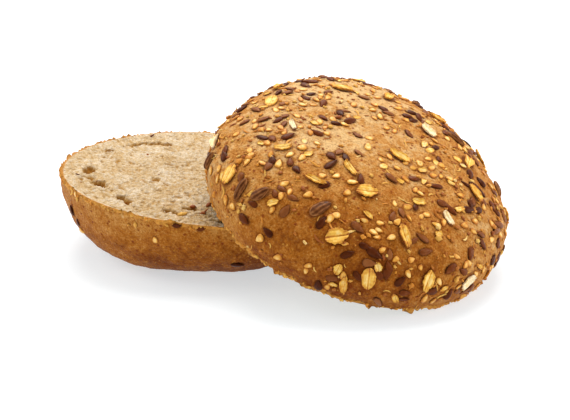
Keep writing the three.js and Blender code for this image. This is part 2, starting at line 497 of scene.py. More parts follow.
def sesame_seed(taper, dimple):
    def outline(x, y, out):
        return 1.6 * x, 1.0 * (1 - taper * x) * y

    def upper(x, y, out):
        return 0.45 * dome(out, 0.35) - dimple * np.maximum(0, 0.6 - out)

    return shape(SEED_CELLS, outline, upper, lambda x, y, out: -0.4 * dome(out))


def sunflower_kernel(taper, bow):
    def outline(x, y, out):
        point = 1 - taper * x - 0.12 * np.maximum(x, 0) ** 3
        return 4.1 * x, 1.75 * point * y + bow * x**2

    def upper(x, y, out):
        ridges = 0.08 * np.cos(7 * y + 0.8 * x) * np.maximum(1 - out**2, 0)
        return 1.25 * dome(out, 0.42) + ridges

    return shape(KERNEL_CELLS, outline, upper, lambda x, y, out: -0.7 * dome(out))


linseeds = [linseed(taper, beak) for taper in (0.28, 0.37, 0.46) for beak in (-0.15, 0.15)]
sesame_seeds = [sesame_seed(taper, dimple) for taper in (0.3, 0.45) for dimple in (0.05, 0.18)]
kernels = [sunflower_kernel(taper, bow) for taper in (0.24, 0.32) for bow in (-0.25, 0.2)]
print(len(linseeds), "linseeds,", len(sesame_seeds), "sesame seeds and", len(kernels), "kernels to copy")

# %% [markdown]
# A rolled oat is a grain crushed flat by a roller: a thin oval leaf with a crease down the middle, split and
# frayed edges, and a curl from the oven's heat. The two skins stay a paper's thickness apart and follow one
# wavy middle surface. Torn pieces are the same leaf, with the outline bitten away on one side.

# %% Shape the oat flakes
FLAKE_CELLS = 26
PAPER = 0.24  # half the flake's thickness, in mm
FLAKE_FORMS = {  # how much of it is there, curl across, curl along, crease depth, fraying
    "flat": (1.0, 0.1, 0.1, 0.2, 0.1),
    "creased": (1.0, 0.4, 0.3, 0.6, 0.17),
    "dished": (0.95, 0.8, 0.2, 0.4, 0.16),
    "bent": (0.9, 0.2, 0.9, 0.4, 0.2),
    "torn": (0.6, 0.8, 0.5, 0.3, 0.22),
    "ragged": (0.7, -0.3, 0.9, 0.5, 0.28),
    "rolled": (0.8, 1.4, 0.3, 0.1, 0.14),
    "curled": (0.55, 1.1, 1.2, 0.1, 0.2),
}


def oat_flake(whole, across, along, crease, fraying, seed):
    def outline(x, y, out):
        place = np.column_stack([x, y, np.full_like(x, seed * 3.7)])
        coarse, fine = noise_at(place, 0.6, 1, seed), noise_at(place, 0.2, 2, seed + 20)
        fray = 1 + fraying * out**4 * (coarse + 0.7 * fine)
        bite = np.where(y > 0, whole + (1 - whole) * 0.6 * x, 1.0)
        return 3.7 * x * fray, 2.6 * y * fray * bite * (1 - 0.14 * x)

    def middle(x, y, out):
        place = np.column_stack([x, y, np.full_like(x, seed * 1.9)])
        wave = 0.22 * noise_at(place, 0.5, 2, seed + 40)
        groove = crease * np.exp(-((y / 0.16) ** 2)) * (1 - 0.6 * x**2)
        return across * y**2 + along * x**2 * 0.8 + wave * (0.3 + out) - groove

    def upper(x, y, out):
        return middle(x, y, out) + PAPER + 0.16 * dome(out)

    def lower(x, y, out):
        return middle(x, y, out) - PAPER + 0.1 * crease * np.exp(-((y / 0.2) ** 2))

    return shape(FLAKE_CELLS, outline, upper, lower)


flakes = [oat_flake(*form, seed) for seed, form in enumerate(FLAKE_FORMS.values())]
print(len(flakes), "oat flakes to copy, of", len(flakes[0][0]), "points each")

# %% [markdown]
# Sacks of oats and seeds end in dust: broken corners of grain and thin shreds of bran. They are tiny, so a
# rough lump and a bent splinter, each in a few versions, are enough.

# %% Shape the crumbs
LUMP_CELLS = 6
SHRED_CELLS = 8
LUMPS = 6


def rough_lump(seed):
    def radius(x, y):
        place = np.column_stack([x, y, np.full_like(x, seed * 2.3)])
        return 0.85 + 0.6 * noise_at(place, 0.7, 2, seed + 9)

    def outline(x, y, out):
        return 0.75 * x * radius(x, y), 0.5 * y * radius(x, y)

    def upper(x, y, out):
        return 0.45 * dome(out) * radius(x, y)

    return shape(LUMP_CELLS, outline, upper, lambda x, y, out: -0.3 * dome(out))


def bran_shred(bend):
    def outline(x, y, out):
        return 1.5 * x, 0.27 * y + bend * x**2

    def upper(x, y, out):
        return 0.17 * dome(out) + 0.22 * x**2

    return shape(SHRED_CELLS, outline, upper, lambda x, y, out: 0.2 * x**2 - 0.13 * dome(out))


crumbs = [rough_lump(seed) for seed in range(LUMPS)] + [bran_shred(bend) for bend in (-0.5, 0.1, 0.55)]
print(len(crumbs), "crumbs to copy")

# %% [markdown]
# ## Where the toppings lie
#
# A topping is remembered by its kind, its place, its two directions and its size. Wherever it comes from,
# it is first dropped on the crust. A search tree finds the nearest crust and the direction out of it.

# %% Describe a topping


def as_vectors(points):
    return [Vector(p) for p in points]


crown_tree = bvhtree.BVHTree.FromPolygons(as_vectors(crown_skin), upper_faces.tolist())
heel_tree = bvhtree.BVHTree.FromPolygons(as_vectors(heel_skin), upper_faces[:, ::-1].tolist())
KINDS = {  # usual length and width in mm, how deep it sits as a share of 1 mm, how far it tips in degrees
    "oat_flake": (7.4, 5.2, 0.1, 7),
    "sunflower_kernel": (8.2, 3.5, 0.1, 5),
    "linseed": (4.9, 2.56, 0.12, 9),
    "sesame_seed": (3.2, 2.0, 0.1, 10),
    "crumb": (1.2, 0.9, 0.05, 25),
}
DARK_SIDE = math.radians(-55)  # the side of the crown, from its downhill way, that is darkest: browned most, and in painted shade
CROWN_HEIGHT = 30 * MM
FORM_DRAW = 1000  # a topping's form is drawn below this, and later taken round the number of forms


def browning_and_shade(down, angle):
    """How dark a place on the crown is, 0 to 1, from browning and painted shade. down is 0 at the top and 1
    at the cut.
    """
    return smooth_step(0.15, 0.9, down) * (0.5 + 0.5 * np.cos(angle - DARK_SIDE)) ** 2


class Topping:
    """One seed, flake or crumb on a half: its kind, place, directions and size against the usual one."""

    def __init__(self, kind, tree, place, along, scale, matrix):
        self.kind, self.scale, self.matrix, self.calm = kind, scale, matrix, 1.0
        self.place, self.out, _, _ = tree.find_nearest(Vector(place))
        self.along = (along - self.out * along.dot(self.out)).normalized()
        self.half_long = KINDS[kind][0] / 2 * scale[0] * MM
        self.half_wide = KINDS[kind][1] / 2 * scale[1] * MM
        self.tint = rng.random()
        self.form = int(rng.integers(0, FORM_DRAW))

    def brown_and_shade(self):
        """How dark it is made by where it lies, 0 to 1, from browning and painted shade. Those of the heel
        get none, as they faced down.
        """
        if self.matrix is not CROWN:
            return 0.0
        down = 1 - self.place.z / CROWN_HEIGHT
        return float(browning_and_shade(down, math.atan2(self.place.y, self.place.x)))


print(len(KINDS), "kinds of topping")

# %% [markdown]
# The plain model already says where the larger toppings are, so their places are measured from it: the
# three main directions of a flattened solid's points are its length, its width and the way it faces.

# %% Read the toppings of the plain model


def topping_from_node(node, kind):
    points = moved(CROWN.inverted(), np.unique(points_of(node).round(6), axis=0))
    middle = (points.max(0) + points.min(0)) / 2
    _, _, ways = np.linalg.svd(points - points.mean(0), full_matrices=False)
    spans = [np.ptp(points @ way) / MM for way in ways]
    usual = KINDS[kind]
    scale = (spans[0] / usual[0], spans[1] / usual[1], 1.0)
    return Topping(kind, crown_tree, middle, Vector(ways[0]), scale, CROWN)


FLAKE_LOOKS = {  # the large flakes in front: their form, and their tint from golden, 0, to floury, 1
    1: ("flat", 0.35),
    2: ("flat", 0.55),
    3: ("dished", 0.3),
    4: ("bent", 0.6),
    5: ("torn", 0.3),
    6: ("ragged", 0.3),
    7: ("curled", 0.5),
    8: ("creased", 0.35),
    9: ("creased", 0.2),
    10: ("dished", 0.15),
    11: ("flat", 0.3),
    12: ("rolled", 0.2),
    13: ("creased", 0.62),
    14: ("bent", 0.98),
    15: ("bent", 0.93),
    16: ("dished", 0.3),
    17: ("ragged", 0.97),
    18: ("rolled", 0.95),
    19: ("torn", 0.4),
}
CALM = 0.4  # how much of the usual tip the large flakes have, as they lie flat


def toppings_of_plain_model():
    laid = []
    for node in sorted(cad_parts):
        kind = node.rstrip("0123456789_")
        if kind not in KINDS:
            continue
        topping = topping_from_node(node, kind)
        number = int(node[-2:])
        if kind == "oat_flake" and number in FLAKE_LOOKS:
            form, topping.tint = FLAKE_LOOKS[number]
            topping.form = list(FLAKE_FORMS).index(form)
            topping.calm = CALM
        laid.append(topping)
    return laid


toppings = toppings_of_plain_model()
print(len(toppings), "toppings measured from the plain model")

# %% [markdown]
# The rest are strewn. A baker presses the top of the dough into a tray of seeds, so they lie thick over the
# dome, thin out towards the cut, and leave a few bare patches where the skin stretched. The chance of a
# seed at a place is an even spread times a few soft patches, some thinner and some thicker. Seeds also
# stick to each other in the tray, so a share of them is laid right beside one that is there already.

# %% Strew the rest of the toppings
PATCHES = (  # across and along the disc of the crust, size, and how many times as many toppings
    (0.35, -0.85, 0.3, 0.25),
    (-0.1, -0.95, 0.28, 0.35),
    (0.06, 0.02, 0.2, 0.35),
    (0.25, -0.25, 0.12, 0.5),
    (0.75, 0.25, 0.4, 2.0),
    (-0.35, -0.5, 0.3, 1.6),
    (-0.3, 0.65, 0.4, 1.5),
)
STREWN = {"oat_flake": 42, "linseed": 172, "sesame_seed": 225, "crumb": 700}
USUAL_SIZE = {"oat_flake": 0.45, "linseed": 0.87, "sesame_seed": 0.93, "crumb": 1.0}
MOST_TINT = {"oat_flake": 0.8}
SIZE_SPREAD = {"oat_flake": 0.1, "linseed": 0.1, "sesame_seed": 0.1, "crumb": 0.25}
WIDTH_SPREAD = 0.08  # of the length and of the width, on their own
EDGE_FREE = 0.965  # no topping is nearer the cut than this
THINNER = 0.45  # share of the toppings that is missing close to the cut
CLEAR_OF_TABLE = 1.6 * MM
CLUMPED = 0.35  # share laid beside another one
CLUMP_REACH = 2.6 * MM
CLUMP_FLOOR = 2 * MM  # a clump goes no lower than this in the crown's own frame
SCATTER = 0.2 * MM
GAP = 0.2 * MM
APART = 0.56  # how far apart two middles are at least, against the two half lengths and a gap
ON_TOP = 3  # each third try with a crumb may lie across other toppings
TRIES = 20  # for each topping to lay


def spread_of_toppings(rho, angle):
    x, y = rho * np.cos(angle), rho * np.sin(angle)
    chance = np.ones_like(rho)
    for px, py, size, times in PATCHES:
        near = np.exp(-((x - px) ** 2 + (y - py) ** 2) / size**2)
        chance *= 1 + (times - 1) * near
    return chance * (rho < EDGE_FREE) * (1 - THINNER * smooth_step(0.7, 0.95, rho))


def is_free(place, reach, others):
    return all((place - o.place).length >= APART * (reach + o.half_long + GAP) for o in others)


def random_place(chance):
    place = Vector(crown_skin[rng.choice(len(chance), p=chance)] + rng.normal(0, SCATTER, 3))
    near = toppings[int(rng.integers(len(toppings)))].place
    beside = near + Vector(rng.normal(0, CLUMP_REACH, 3))
    return beside if rng.random() < CLUMPED and beside.z > CLUMP_FLOOR else place


def strew(kind, count, chance):
    """Lays toppings of one kind at free places of the crown."""
    made, tries = 0, 0
    while made < count and tries < TRIES * count:
        tries += 1
        place = random_place(chance)
        size = USUAL_SIZE[kind] * rng.lognormal(0, SIZE_SPREAD[kind])
        scale = (size * rng.normal(1, WIDTH_SPREAD), size * rng.normal(1, WIDTH_SPREAD), size)
        topping = Topping(kind, crown_tree, place, Vector(rng.normal(0, 1, 3)), scale, CROWN)
        topping.tint *= MOST_TINT.get(kind, 1.0)
        others = [] if kind == "crumb" and tries % ON_TOP == 0 else toppings
        above_table = (CROWN @ topping.place).z > CLEAR_OF_TABLE + topping.half_long * 0.5
        if above_table and is_free(topping.place, topping.half_long, others):
            toppings.append(topping)
            made += 1
    return made


chance = spread_of_toppings(rho, angle)
chance /= chance.sum()
for kind, count in STREWN.items():
    print(strew(kind, count, chance), kind, "strewn")

# %% [markdown]
# The heel was not pressed into the seeds, but a few from the dough have baked into its side.

# %% Set the few seeds of the heel
HEEL_SEEDS = (  # kind, degrees round the heel, share of the crust from base to cut, turn from upright, size
    ("linseed", 233, 0.89, 10, 0.9),
    ("linseed", 235, 0.84, 15, 0.7),
    ("linseed", 284, 0.987, 85, 0.65),
    ("linseed", 293, 0.985, 80, 0.6),
    ("linseed", 307, 0.76, 85, 0.95),
    ("sesame_seed", 234, 0.79, 10, 1.0),
    ("sesame_seed", 275, 0.89, 0, 0.9),
    ("sesame_seed", 239, 0.99, 20, 0.8),
    ("sesame_seed", 150, 0.9, 40, 1.0),
    ("linseed", 148, 0.95, 70, 0.8),
    ("linseed", 120, 0.82, 70, 1.0),
    ("sesame_seed", 60, 0.85, 10, 1.0),
    ("linseed", 30, 0.75, 20, 1.0),
    ("sesame_seed", 350, 0.8, 60, 1.0),
    ("crumb", 268, 0.95, 0, 1.3),
    ("crumb", 265, 0.94, 50, 1.0),
    ("crumb", 240, 0.97, 0, 1.2),
    ("crumb", 236, 0.985, 30, 1.3),
)
HEEL_TINT = 0.4  # their tints are drawn from this lower part of the range


def heel_topping(kind, turn_round, share, turn, size):
    at = np.array([share]), np.array([math.radians(turn_round)])
    place = Vector(heel_half.crust(*at)[0])
    level = Vector((-math.sin(at[1][0]), math.cos(at[1][0]), 0))
    turn = math.radians(turn)
    along = Vector((0, 0, 1)) * math.cos(turn) + level * math.sin(turn)
    seed = Topping(kind, heel_tree, place, along, (size, size, size), HEEL)
    seed.tint *= HEEL_TINT
    return seed


heel_toppings = [heel_topping(*seed) for seed in HEEL_SEEDS]
print(len(toppings), "toppings on the crown and", len(heel_toppings), "on the heel")

# %% [markdown]
# ## Bed the toppings in the crust
#
# A seed that is baked on doesn't float: the dough rose round it. So the crust dips a little under each
# topping and stands up in a soft collar round it. A tree of the crust's points finds the few near each one.

# %% Dent the crust round each topping
BED_DEPTH = {"oat_flake": 0.2, "sunflower_kernel": 0.4, "linseed": 0.3, "sesame_seed": 0.2, "crumb": 0.1}
COLLAR = {"oat_flake": 0.05, "sunflower_kernel": 0.2, "linseed": 0.15, "sesame_seed": 0.1, "crumb": 0.03}
BED_REACH = 1.9  # in half lengths, how far from its middle a topping moves the crust
COLLAR_AT = 1.2  # in half lengths and half widths, where the collar is highest
COLLAR_WIDTH = 0.28
DENT_EDGE = (0.75, 1.1)  # in the same terms, from where to where the dent runs out
CLOSE = (1.0, 1.4)  # and from where to where the crust stops counting as close to a topping, for the painted shade round it
DEEPEST, HIGHEST = -0.4 * MM, 0.5 * MM  # what several toppings together may move it


def point_tree(points):
    tree = kdtree.KDTree(len(points))
    for i, p in enumerate(points):
        tree.insert(p, i)
    tree.balance()
    return tree


def bed(points, laid):
    """How far, in metres, the crust moves out, and how close each of its points is to a topping, for a
    painted shade.
    """
    lift, near = np.zeros(len(points)), np.zeros(len(points))
    tree = point_tree(points)
    for topping in laid:
        found = tree.find_range(topping.place, topping.half_long * BED_REACH)
        index = np.array([i for _, i, _ in found], int)
        offset = points[index] - np.array(topping.place)
        u = offset @ np.array(topping.along) / topping.half_long
        v = offset @ np.array(topping.out.cross(topping.along)) / topping.half_wide
        away = np.hypot(u, v)
        collar = COLLAR[topping.kind] * np.exp(-(((away - COLLAR_AT) / COLLAR_WIDTH) ** 2))
        dent = BED_DEPTH[topping.kind] * (1 - smooth_step(*DENT_EDGE, away))
        lift[index] += (collar - dent) * MM * min(1.0, topping.scale[0])
        near[index] = np.maximum(near[index], 1 - smooth_step(*CLOSE, away))
    return np.clip(lift, DEEPEST, HIGHEST), near


FINE_BUMPS = ((2.4, 2, 0.12), (1.0, 2, 0.09))  # size, octaves and height, in mm


def finished_crust(skin, normals, laid, seed):
    lift, near = bed(skin, laid)
    for i, (size, octaves, amount) in enumerate(FINE_BUMPS):
        lift += noise_at(skin, size * MM, octaves, seed + i) * amount * MM
    return skin + normals * lift[:, None], near


crown_crust, crown_near_shade = finished_crust(crown_skin, crown_normals, toppings, 11)
heel_crust, heel_near_shade = finished_crust(heel_skin, heel_normals, heel_toppings, 15)
print("share of the crown's crust close to a topping:", round(float(crown_near_shade.mean()), 2))

# %% [markdown]
# A bread knife tears the crisp edge of the crust, so both rims are fringed with small golden crumbs. They
# are laid after the denting, because the knife came long after the oven. The places where one half leans
# on the other stay clean.

# %% Fringe the rims with crumbs
RIM_CRUMBS = 230
CROWN_CLEAN_SIDE = 180  # in degrees, where the crown leans on the heel
HEEL_CLEAN_SIDE = -24  # and where the heel carries it
CLEAN = 0.75  # the cosine from the clean side above which no crumb is laid
STRAY = 0.02  # in radians, how unevenly they are spaced
RIM_BAND = (0.978, 0.998)  # shares of the crust between which they lie
RIM_SIZE = (-0.3, 0.25)  # middle and spread of the logarithm of their size
RIM_TINTS = (0.1, 0.6)


def rim_crumbs(half, tree, matrix, clean_side):
    """Crumbs along the rim of a half, except round its clean side, in degrees."""
    laid = []
    ways = np.linspace(0, 2 * math.pi, RIM_CRUMBS, endpoint=False)
    for way in ways + rng.normal(0, STRAY, RIM_CRUMBS):
        if math.cos(way - math.radians(clean_side)) > CLEAN:
            continue
        place = Vector(half.crust(np.array([rng.uniform(*RIM_BAND)]), np.array([way]))[0])
        size = rng.lognormal(*RIM_SIZE)
        crumb = Topping("crumb", tree, place, Vector(rng.normal(0, 1, 3)), (size, size, size), matrix)
        crumb.tint, crumb.form = rng.uniform(*RIM_TINTS), int(rng.integers(LUMPS))
        laid.append(crumb)
    return laid


toppings += rim_crumbs(crown_half, crown_tree, CROWN, CROWN_CLEAN_SIDE)
heel_toppings += rim_crumbs(heel_half, heel_tree, HEEL, HEEL_CLEAN_SIDE)
print(len(toppings) + len(heel_toppings), "toppings in all")

# %% [markdown]
# ## The crumb
#
# The cut shows the crumb, a foam of bubbles that the knife has opened. Three sizes matter: a fine grain all
# over, middling pores, and a few large holes that lie under the crust, where gas gathered. A texture could
# only colour them. Here each pore is a real bowl pressed into the cut face, so that it holds a shadow.
# The large ones are listed, and the small ones are drawn at random.

# %% List the pores
LARGE_PORES = (  # degrees round, share of the radius, length, width and depth in mm, turn in degrees
    (212, 0.82, 7.4, 5.0, 3.3, 120),
    (223, 0.88, 3.4, 1.8, 1.0, 130),
    (231, 0.78, 8.5, 4.8, 3.0, 140),
    (241, 0.76, 3.6, 2.0, 1.2, 150),
    (252, 0.79, 8.0, 4.2, 3.1, 165),
    (258, 0.84, 3.0, 1.4, 0.9, 170),
    (277, 0.78, 7.4, 3.4, 2.6, 5),
    (285, 0.68, 6.0, 3.0, 2.2, 15),
    (292, 0.75, 4.0, 2.0, 1.2, 30),
    (179, 0.86, 3.4, 3.0, 2.2, 90),
    (159, 0.84, 10.0, 2.8, 2.0, 70),
    (151, 0.79, 7.0, 3.2, 2.2, 60),
    (145, 0.75, 5.0, 3.0, 2.0, 50),
    (135, 0.85, 4.5, 1.8, 1.2, 45),
    (177, 0.35, 3.6, 2.6, 0.9, 30),
    (320, 0.8, 6.0, 2.6, 2.0, 40),
    (80, 0.82, 5.0, 2.4, 1.8, 170),
    (40, 0.78, 6.5, 3.0, 2.2, 130),
    (5, 0.8, 4.0, 2.6, 1.6, 90),
)
SMALL_PORES = ((70, 0.75, 0.7), (600, 0.52, 0.5), (2600, 0.36, 0.3))  # how many, usual radius, depth in mm
PORE_SPREAD = 0.27  # how much the sizes of the small pores differ
PORES_TO = 0.965  # share of the radius out to which they lie
LONGEST_PORE = 1.8  # length against width


def random_pores():
    """Pores as rows: x and y as shares of the disc, half length, half width and depth in m, and a turn."""
    rows = []
    for count, radius, depth in SMALL_PORES:
        size = rng.lognormal(0, PORE_SPREAD, count)
        out = np.sqrt(rng.random(count)) * PORES_TO
        turn = rng.random(count) * 2 * math.pi
        stretch = rng.uniform(1.0, LONGEST_PORE, count)
        rows.append(np.column_stack([
            out * np.cos(turn), out * np.sin(turn), radius * size * stretch * MM, radius * size * MM,
            depth * size * MM, turn + math.pi / 2 + rng.normal(0, 0.6, count)]))
    return np.concatenate(rows)


def placed_pores(pores, spin=0):
    at = np.array(pores)
    way, turn = np.radians(at[:, 0] + spin), np.radians(at[:, 5] + spin)
    sizes = at[:, 2:5] * MM / (2, 2, 1)
    return np.column_stack([at[:, 1] * np.cos(way), at[:, 1] * np.sin(way), sizes, turn])


heel_pores = np.concatenate([random_pores(), placed_pores(LARGE_PORES)])
crown_pores = np.concatenate([random_pores(), placed_pores(LARGE_PORES, 140)])
print(len(heel_pores), "pores in each cut face")

# %% [markdown]
# Each pore moves only the points of the cut face near it, which a search tree finds. Its outline wobbles,
# since bubbles are squeezed by their neighbours. The fine grain between the pores is cellular noise.

# %% Press the pores into the cut faces
GRAIN_SIZE = 1.2 * MM
WALL = 1.3 * MM  # of whole crumb left inside the crust
WAVE_SIZE, WAVE_DEPTH = 14 * MM, 0.35 * MM  # of the whole cut, which no knife leaves quite flat
PORE_STARTS = 0.4 * MM  # a point pressed in by more than this counts as inside a pore
PORE_FULL = 1.2 * MM  # and by this much more, as fully inside


def pored_face(half, rho, angle, pores, seed):
    """The flat cut face, how deep its points are pressed in, and how far inside a pore they are, 0 to 1."""
    flat = half.face(rho, angle)
    wobble = np.column_stack([noise_at(flat, 2.2 * MM, 2, seed + k) for k in range(2)]) * 0.35
    tree, depth = point_tree(flat), np.zeros(len(flat))
    for x, y, half_long, half_wide, deep, turn in pores:
        out, way = math.hypot(x, y), np.array([math.atan2(y, x)])
        middle = half.face(np.array([out]), way)[0]
        found = tree.find_range(middle, half_long * 1.5)
        index = np.array([i for _, i, _ in found], int)
        if not len(index):
            continue
        offset = flat[index] - middle
        u = (offset[:, 0] * math.cos(turn) + offset[:, 1] * math.sin(turn)) / half_long
        v = (offset[:, 1] * math.cos(turn) - offset[:, 0] * math.sin(turn)) / half_wide
        rim = 1 + wobble[index].sum(1) * min(1.0, half_wide / MM)
        bowl = deep * np.sqrt(np.maximum(1 - (u**2 + v**2) / rim**2, 0))
        depth[index] = np.maximum(depth[index], bowl)
    grain = np.array([noise.voronoi(Vector(p) / GRAIN_SIZE)[0][0] for p in flat])
    to_crust = (1 - rho) * half.reaches.mean()
    room = smooth_step(0.3 * MM, WALL + 1.5 * MM, to_crust)
    rough = 0.85 * (0.9 - grain) + 0.3 * noise_at(flat, 1.1 * MM, 2, seed + 5)
    depth = depth * room + rough * MM * room
    open_air = np.clip((depth - PORE_STARTS) / PORE_FULL, 0, 1)
    depth += WAVE_DEPTH * (1 + noise_at(flat, WAVE_SIZE, 2, seed + 7)) * room
    return flat, np.maximum(depth, 0), open_air


heel_flat, heel_depth, heel_pore = pored_face(heel_half, rho, angle, heel_pores, 21)
_, crown_depth, crown_pore = pored_face(crown_half, rho, angle, crown_pores, 31)
print("the deepest pore of the heel is", round(heel_depth.max() / MM, 1), "mm deep")

# %% [markdown]
# The knife also went through a few bran flakes and seeds of the dough. They lie in the crumb of the heel.

# %% Set bits of grain in the crumb
GRAIN_BITS = (  # kind, degrees round, share of the radius, turn in degrees, size, tint
    ("crumb", 283, 0.83, 20, 1.9, 0.12),
    ("crumb", 284.5, 0.81, 60, 1.2, 0.15),
    ("crumb", 286, 0.66, 20, 1.5, 1.0),
    ("crumb", 292, 0.75, 40, 1.6, 0.95),
    ("crumb", 293.5, 0.72, 100, 1.1, 1.0),
    ("crumb", 295, 0.61, 70, 1.5, 1.0),
    ("linseed", 219, 0.89, 30, 0.4, 0.4),
    ("linseed", 147, 0.95, 60, 0.6, 0.3),
    ("crumb", 230, 0.5, 0, 0.9, 0.4),
    ("crumb", 300, 0.35, 45, 1.0, 0.5),
    ("crumb", 170, 0.6, 80, 0.9, 0.9),
    ("crumb", 60, 0.5, 10, 1.3, 0.2),
)
heel_face = heel_flat - np.array(heel_facing) * heel_depth[:, None]
heel_face_tree = bvhtree.BVHTree.FromPolygons(as_vectors(heel_face), upper_faces.tolist())
for kind, turn_round, share, turn, size, tint in GRAIN_BITS:
    place = Vector(heel_half.face(np.array([share]), np.radians([turn_round]))[0])
    along = Vector((math.cos(math.radians(turn)), math.sin(math.radians(turn)), 0))
    bit = Topping(kind, heel_face_tree, place, along, (size, size, size), HEEL)
    bit.tint = tint
    heel_toppings.append(bit)
print(len(GRAIN_BITS), "bits of grain in the heel's crumb")

# %% [markdown]
# ## Join crust and crumb
#
# The knife leaves the crust a little proud and ragged, because it is crisp and the crumb gives way. The rim,
# which both skins share, gets that raggedness. It stays level with the cut where one half leans on the
# other, so that they go on resting as the plain model has them. No point is left below the table.

# %% Build the two halves of bread
RAGGED = 0.8 * MM  # how far the rim goes in and out
PALE_PLACES = (  # across and along the disc of the crown, size, and by how much paler it is
    (-0.25, -0.8, 0.5, 0.6),
    (-0.42, 0.15, 0.32, 0.5),
    (0.78, -0.12, 0.3, 0.38),
)
# Where the crown shades the heel: its crust is painted darker there, a painted shadow.
HEEL_SHADED_SIDE = math.radians(314)


def bread(name, half, crust, depth, pore, near, toast, seed):
    """One closed half: crust, ragged rim and pored cut."""
    into = np.array(half.inward)
    face = half.face(rho, angle) + into * depth[:, None]
    edge = smooth_step(0.96, 1.0, rho)
    free = smooth_step(0.85, 0.5, np.cos(angle - math.radians(half.clean_side)))
    coarse, fine = noise_at(crust, 2.4 * MM, 3, seed), noise_at(crust, 1.1 * MM, 1, seed + 1)
    ragged = (coarse + 0.6 * fine) * RAGGED * edge
    coarse, fine = noise_at(crust, 3.2 * MM, 2, seed + 2), noise_at(crust, 1.2 * MM, 1, seed + 3)
    proud = (coarse + 0.7 * fine) * half.proud * edge
    outward = np.column_stack([np.cos(angle), np.sin(angle), np.zeros_like(angle)])
    crust = crust + outward * ragged[:, None] - into * (proud * free)[:, None]
    last_ring = rho > LAST_RING
    face[last_ring] = crust[last_ring]
    points = moved(half.matrix, np.concatenate([crust, face[inner]]))
    points[:, 2] = np.maximum(points[:, 2], 0)
    order = 1 if half.outside > 0 else -1  # of each face's corners, so that it looks outward
    faces = np.concatenate([upper_faces[:, ::order], lower_faces[:, ::order]])
    skin = smooth_step(1.5 * MM, 0.3 * MM, (1 - rho) * half.reaches.mean())
    # toast is browning with painted shade in it; near is how close a topping is, for the painted shade round
    # it.
    facts = {
        "toast": np.concatenate([toast, toast[inner]]),
        "lip": np.concatenate([smooth_step(0.972, 0.995, rho), np.zeros(inner.sum())]),
        "near": np.concatenate([near, np.zeros(inner.sum())]),
        "pore": np.concatenate([np.zeros(len(rho)), pore[inner]]),
        "skin": np.concatenate([np.ones(len(rho)), skin[inner]]),
    }
    piece = new_piece(name, points, faces, facts)
    piece.data.polygons.foreach_set("material_index", np.repeat([0, 1], len(upper_faces)).astype(np.int32))
    return piece


crown_half.inward, crown_half.clean_side, crown_half.proud = (0, 0, 1), CROWN_CLEAN_SIDE, 1.7 * MM
heel_half.inward, heel_half.clean_side, heel_half.proud = tuple(-heel_facing), HEEL_CLEAN_SIDE, 1.2 * MM
# The crown is darker towards the cut and on one side, partly browning and partly painted shade, and paler in
# a few places.
crown_toast_and_shade = browning_and_shade(rho, angle)
for x, y, size, less in PALE_PLACES:
    away = np.hypot(rho * np.cos(angle) - x, rho * np.sin(angle) - y) / size
    crown_toast_and_shade -= less * np.exp(-(away**2))
# The heel's crust is browner towards its base, and painted darker on the side that the crown shades.
heel_toast_and_shade = 0.6 * smooth_step(1.0, 0.7, rho) + 0.22 * (0.5 + 0.5 * np.cos(angle - HEEL_SHADED_SIDE)) ** 12
crown_looks = (crown_depth, crown_pore, crown_near_shade, crown_toast_and_shade)
heel_looks = (heel_depth, heel_pore, heel_near_shade, heel_toast_and_shade)
crown_bread = bread("crown_bread", crown_half, crown_crust, *crown_looks, 51)
heel_bread = bread("heel_bread", heel_half, heel_crust, *heel_looks, 55)
for piece in (crown_bread, heel_bread):
    print(piece.name, "has", len(piece.data.polygons), "faces")

# %% [markdown]
# ## Lay the toppings
#
# Some fifteen hundred objects would be slow to handle, and nothing needs to tell one seed from the next.
# All the copies of a kind are joined into one mesh, and each keeps a random number called tint, so that the
# material can still give every seed its own shade.

# %% Copy and join the toppings of each kind
SHAPES = {
    "oat_flake": flakes,
    "sunflower_kernel": kernels,
    "linseed": linseeds,
    "sesame_seed": sesame_seeds,
    "crumb": crumbs,
}
LIFTED = 0.75  # share of its underside's depth by which a topping is lifted, before it is sunk
OFF_TABLE = 0.05 * MM


def laid_copy(topping):
    """The points and faces of one topping where it lies, and its numbers."""
    points, faces, facts = SHAPES[topping.kind][topping.form % len(SHAPES[topping.kind])]
    _, _, sunk, tip = KINDS[topping.kind]
    across = topping.out.cross(topping.along)
    turn = Matrix((topping.along, across, topping.out)).transposed()
    tipped = [math.radians(a) for a in rng.normal(0, tip * topping.calm, 2)]
    turn = turn @ Matrix.Rotation(tipped[0], 3, "X") @ Matrix.Rotation(tipped[1] * 0.5, 3, "Y")
    local = points * topping.scale
    place = topping.place + topping.out * (-local[:, 2].min() * LIFTED - sunk * MM)
    laid = local @ np.array(turn).T + np.array(place)
    return moved(topping.matrix, laid), faces, facts


def join_toppings(name, laid):
    """One mesh of many toppings, each still a closed shell of its own."""
    points, faces, start = [], [], 0
    facts = {"edge": [], "across": [], "tint": [], "brown_and_shade": []}
    for topping in laid:
        copy, quads, own = laid_copy(topping)
        copy[:, 2] = np.maximum(copy[:, 2], OFF_TABLE)
        points.append(copy)
        faces.append(quads + start)
        same = {"tint": topping.tint, "brown_and_shade": topping.brown_and_shade()}
        for fact, parts in facts.items():
            parts.append(own[fact] if fact in own else np.full(len(copy), same[fact]))
        start += len(copy)
    facts = {fact: np.concatenate(parts) for fact, parts in facts.items()}
    return new_piece(name, np.concatenate(points), np.concatenate(faces), facts)


pieces = {}
for kind in SHAPES:
    laid = [t for t in toppings + heel_toppings if t.kind == kind]
    pieces[kind] = join_toppings({"crumb": "oat_and_bran_crumbs"}.get(kind, kind + "s"), laid)
    print(pieces[kind].name, "are", len(laid), "copies with", len(pieces[kind].data.polygons), "faces")

# %% [markdown]
# ## Materials
#
# Each finish is a small graph of nodes. A few helpers keep the graphs short: one adds a node and sets its
# sockets, one turns a number into a colour through a ramp, and one blends two colours.

# %% Helpers for node graphs


